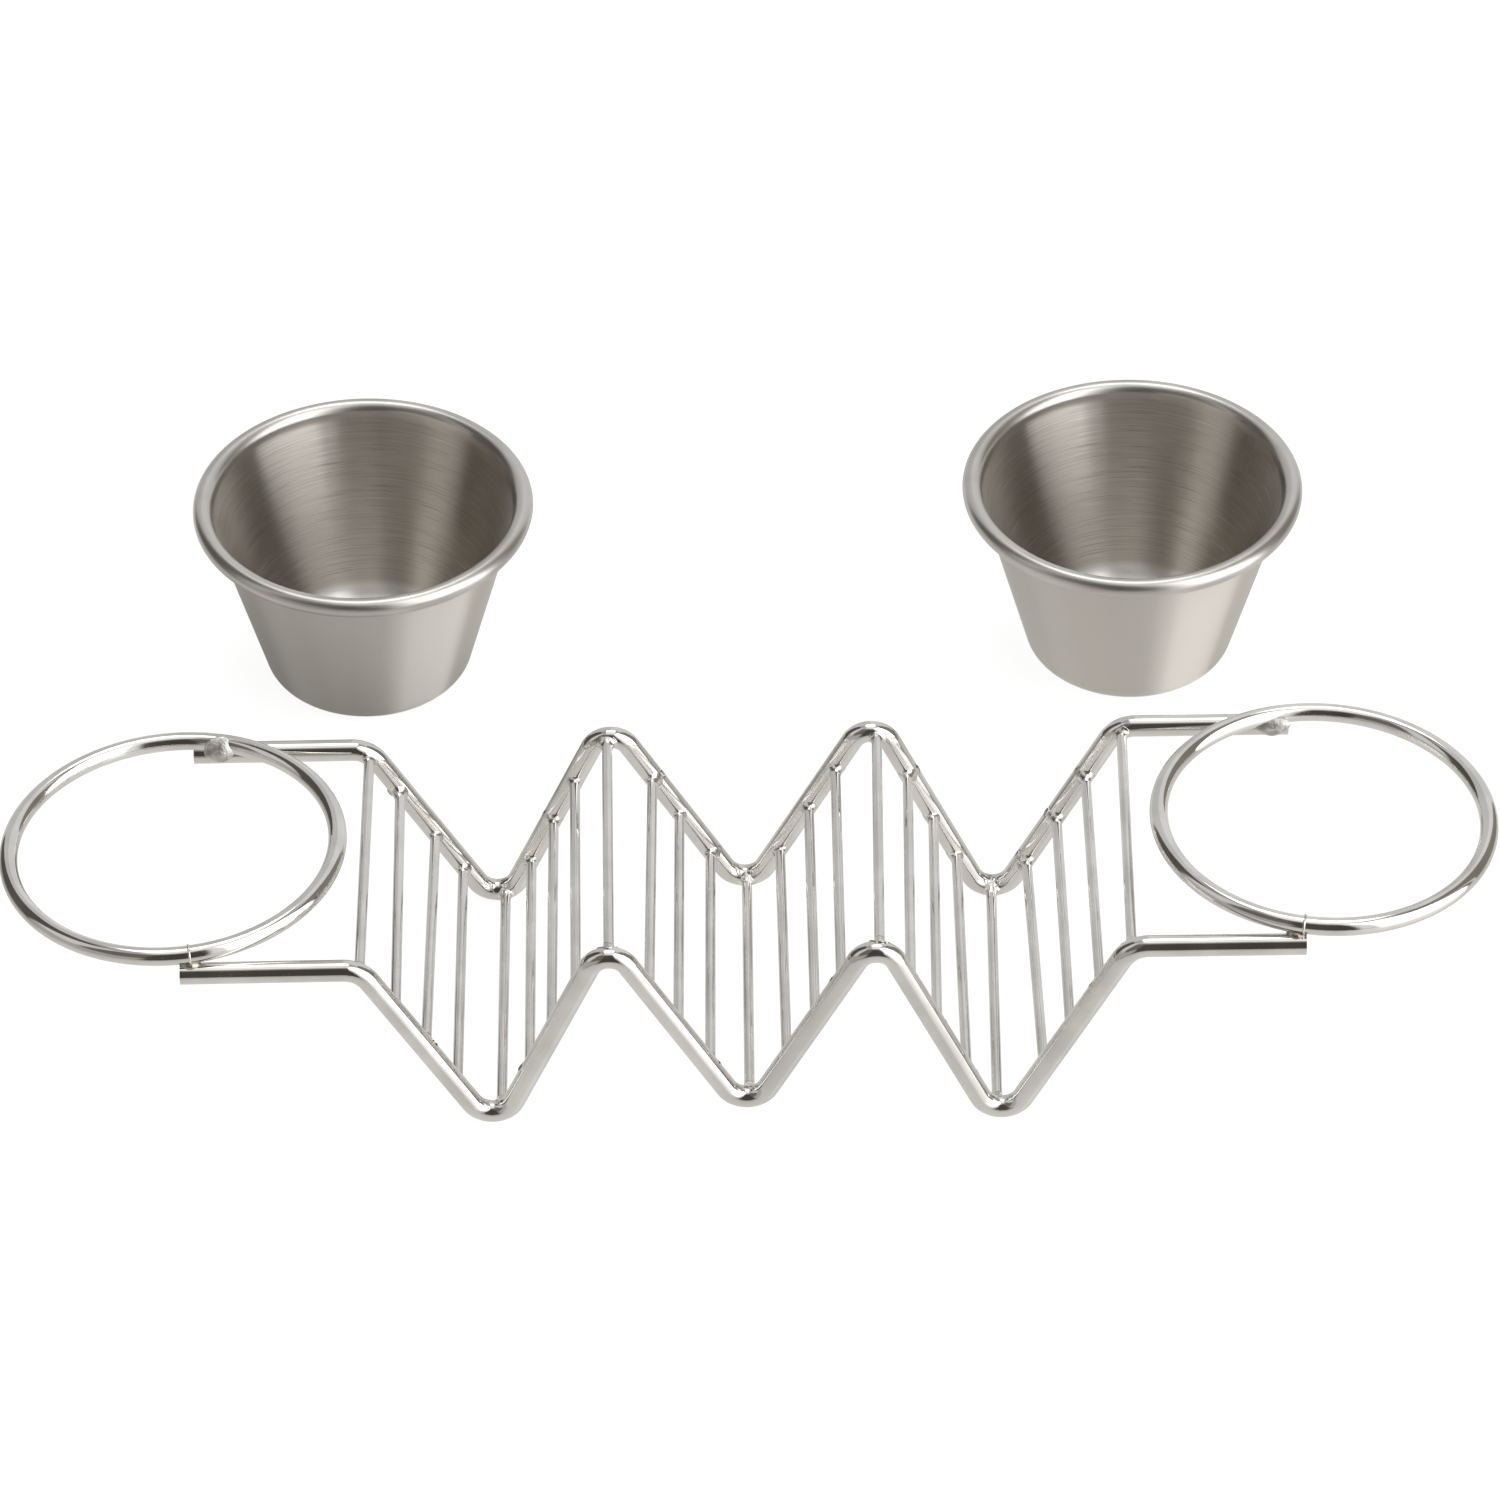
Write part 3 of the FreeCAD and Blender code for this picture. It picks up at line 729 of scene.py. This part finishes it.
@dataclass
class Table:
    """Pale glossy table that the steel reflects and that the camera sees as white, with a soft shadow."""

    half: float = 20.0
    tint: tuple[float, float, float, float] = (1.0, 0.975, 0.94, 1.0)
    light: float = 0.66
    least_light: float = 0.04
    front_edge: Span = (-0.55, -0.40)
    left_side: Span = (-0.12, -0.32)
    left_dimming: float = 0.26
    back: Patch = Patch(x=(-0.02, -0.12), y=(0.05, 0.15), strength=0.35)
    right_front: Patch = Patch(x=(0.08, 0.20), y=(-0.03, -0.12), strength=0.20)
    middle_right: Patch = Patch(x=(0.0, 0.08), y=(-0.02, 0.04), strength=0.10)
    left_shade: float = 0.56
    right_shade: float = 0.12
    shade_aside: float = 20.0 * MM
    shade_core: float = 18.0 * MM
    shade_reach: float = 70.0 * MM
    gloss: float = 0.08
    refraction: float = 1.5
    seen_light: float = 0.90
    seen_paint: tuple[float, float, float, float] = (0.22, 0.22, 0.22, 1.0)

    def build(self) -> None:
        """Adds the table as one square, which is part of the stage."""
        half = self.half
        mesh = bpy.data.meshes.new("table")
        mesh.from_pydata([(-half, -half, 0), (half, -half, 0), (half, half, 0), (-half, half, 0)],
                         [], [(0, 1, 2, 3)])
        mesh.materials.append(self.material())
        table = bpy.data.objects.new("table", mesh)
        bpy.context.scene.collection.objects.link(table)

    def material(self) -> bpy.types.Material:
        """Glow under a gloss for the steel, and white with a little paint for the camera."""
        material, tree = new_material("table_white")
        x, y, _ = tree.parts(tree.place())
        left = x.step(*self.left_side) * self.left_dimming
        corner = self.right_front.light(x, y) + self.middle_right.light(x, y)
        shade = (self.cup_shade(tree, Side.LEFT) * self.left_shade).most(
            self.cup_shade(tree, Side.RIGHT) * self.right_shade)
        open_light = self.light - left + self.back.light(x, y) + corner
        lit = y.step(*self.front_edge) * open_light * (1 - shade) + self.least_light
        glow = tree.add("ShaderNodeEmission", {}, {"Color": self.tint, "Strength": lit})
        gloss = tree.add("ShaderNodeBsdfGlossy", {}, {"Color": WHITE, "Roughness": self.gloss})
        sheen = tree.add("ShaderNodeFresnel", {}, {"IOR": self.refraction})
        shiny = tree.add("ShaderNodeMixShader", {}, {0: sheen, 1: glow, 2: gloss})
        white = tree.add("ShaderNodeEmission", {}, {"Color": WHITE, "Strength": self.seen_light})
        paint = tree.add("ShaderNodeBsdfDiffuse", {}, {"Color": self.seen_paint})
        seen = tree.add("ShaderNodeAddShader", {}, {0: white, 1: paint})
        tree.end(tree.add("ShaderNodeMixShader", {}, {0: tree.camera_ray(), 1: shiny, 2: seen}))
        return material

    def cup_shade(self, tree: Tree, side: Side) -> Wire:
        """Share of light that a cup keeps off the table round it, mostly on its left."""
        low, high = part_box(f"{side.value}_cup")
        middle = ((low.x + high.x) / 2 - self.shade_aside, (low.y + high.y) / 2, 0.0)
        x, y, _ = tree.parts(tree.place(middle))
        return ((x * x + y * y) ** 0.5).step(self.shade_reach, self.shade_core)


@dataclass
class Flag:
    """Dark board beside the table, which only reflections meet; its strength is how light it looks."""

    side: Side
    strength: float
    out: float = 0.50
    front: float = -0.01
    back: float = 0.44
    bottom: float = -0.2
    top: float = 0.95
    tint: tuple[float, float, float, float] = (1.08, 1.0, 0.86, 1.0)

    def build(self) -> None:
        """Adds the board as one upright face, which is part of the stage."""
        name = f"{self.side.value}_flag"
        x = -self.out if self.side is Side.LEFT else self.out
        corners = [(x, self.front, self.bottom), (x, self.back, self.bottom),
                   (x, self.back, self.top), (x, self.front, self.top)]
        mesh = bpy.data.meshes.new(name)
        mesh.from_pydata(corners, [], [(0, 1, 2, 3)])
        material, tree = new_material(name)
        tree.end(tree.add("ShaderNodeEmission", {}, {"Color": self.tint, "Strength": self.strength}))
        mesh.materials.append(material)
        flag = bpy.data.objects.new(name, mesh)
        flag.visible_camera = flag.visible_diffuse = flag.visible_shadow = False
        flag.visible_transmission = flag.visible_volume_scatter = False
        bpy.context.scene.collection.objects.link(flag)


@dataclass
class Room:
    """The room that the steel reflects: a soft box overhead, panels and walls at the sides, a dark front.

    Spans are bearings in degrees from the front, growing to the right, or heights from 0 level with
    the table to 1 overhead. Those of the box are slopes from the upright, to the side or to the back.
    """

    darkness: float = 0.06
    least_height: float = 0.001
    box_sides: Span = (0.32, 0.20)
    box_front: Span = (-0.40, -0.28)
    box_back: Span = (0.68, 0.52)
    box_heights: Span = (0.3, 0.5)
    box_light: float = 0.95
    box_back_half: Span = (0.10, 0.30)
    box_back_light: float = 2.3
    right_near: Span = (17.0, 23.0)
    right_near_light: float = 0.85
    right_far: Span = (29.0, 35.0)
    right_far_light: float = 1.65
    right_end: Span = (94.0, 91.0)
    right_top: Span = (0.97, 0.92)
    left_near: Span = (-14.0, -24.0)
    left_end: Span = (-98.0, -92.0)
    left_top: Span = (0.96, 0.90)
    left_light: float = 0.42
    gap_heights: Span = (0.22, 0.42)
    gap_bearings: Span = (-66.0, -58.0)
    gap_depth: float = 1.25
    gap_glare: float = 0.6
    wall_top: Span = (0.92, 0.82)
    right_wall: Span = (94.0, 100.0)
    right_wall_light: float = 0.74
    left_wall: Span = (-98.0, -106.0)
    left_wall_light: float = 0.58
    ceiling: Span = (0.80, 0.95)
    ceiling_light: float = 0.45
    dark_tint: Triple = (1.12, 1.0, 0.86)
    tint_fades: Span = (0.0, 0.6)

    def build(self) -> None:
        """Makes the world: the room for reflections and light, and plain white for the camera."""
        world = bpy.data.worlds.new("room")
        world.use_nodes = True
        bpy.context.scene.world = world
        tree = Tree(world.node_tree)
        strength = self.strength(*tree.parts(tree.add("ShaderNodeTexCoord", output="Generated")))
        tint = tree.tint(strength.step(*self.tint_fades), self.dark_tint, WHITE[:3])
        camera = tree.camera_ray()
        shown = camera + (1 - camera) * strength
        colour = tree.blend(tint, WHITE[:3], camera)
        light = tree.add("ShaderNodeBackground", {}, {"Color": colour, "Strength": shown})
        tree.add("ShaderNodeOutputWorld", {}, {"Surface": light})

    def strength(self, x: Wire, y: Wire, z: Wire) -> Wire:
        """Light that comes from a direction, the brightest of what stands there.

        Args:
            x: share of the direction to the right.
            y: share of the direction to the back.
            z: share of the direction upwards, which is the height.

        Returns:
            The strength of the light.
        """
        bearing = x.bearing(0 - y) * (180 / math.pi)
        up = z.most(self.least_height)
        side_slope, back_slope = (x / up).size(), y / up
        box = (side_slope.step(*self.box_sides) * back_slope.step(*self.box_front)
               * back_slope.step(*self.box_back) * z.step(*self.box_heights)
               * (self.box_light + back_slope.step(*self.box_back_half) * self.box_back_light))
        right_light = (bearing.step(*self.right_near) * self.right_near_light
                       + bearing.step(*self.right_far) * self.right_far_light)
        right_panel = right_light * bearing.step(*self.right_end) * z.step(*self.right_top)
        gap = bearing.step(*self.gap_bearings) * self.gap_depth - self.gap_glare
        gap = z.step(*self.gap_heights) * gap
        left_panel = (bearing.step(*self.left_end) * bearing.step(*self.left_near)
                      * z.step(*self.left_top) * self.left_light * (1 - gap))
        right_wall = bearing.step(*self.right_wall) * z.step(*self.wall_top) * self.right_wall_light
        left_wall = bearing.step(*self.left_wall) * z.step(*self.wall_top) * self.left_wall_light
        ceiling = z.step(*self.ceiling) * self.ceiling_light
        sides = (self.darkness + box).most(right_panel).most(left_panel)
        return sides.most(right_wall).most(left_wall).most(ceiling)


def build_studio() -> None:
    """Sets up the view, the table, the dark boards and the room."""
    bpy.context.scene.view_settings.view_transform = "Standard"
    View().build()
    Table().build()
    Flag(Side.LEFT, strength=0.09).build()
    Flag(Side.RIGHT, strength=0.22).build()
    Room().build()


def main() -> None:
    """Builds the pieces in order."""
    logging.basicConfig(level=logging.INFO, format="%(message)s")
    Rack().build()
    for side in Side:
        Cup(side).build()
    build_studio()


if __name__ == "__main__":
    main()
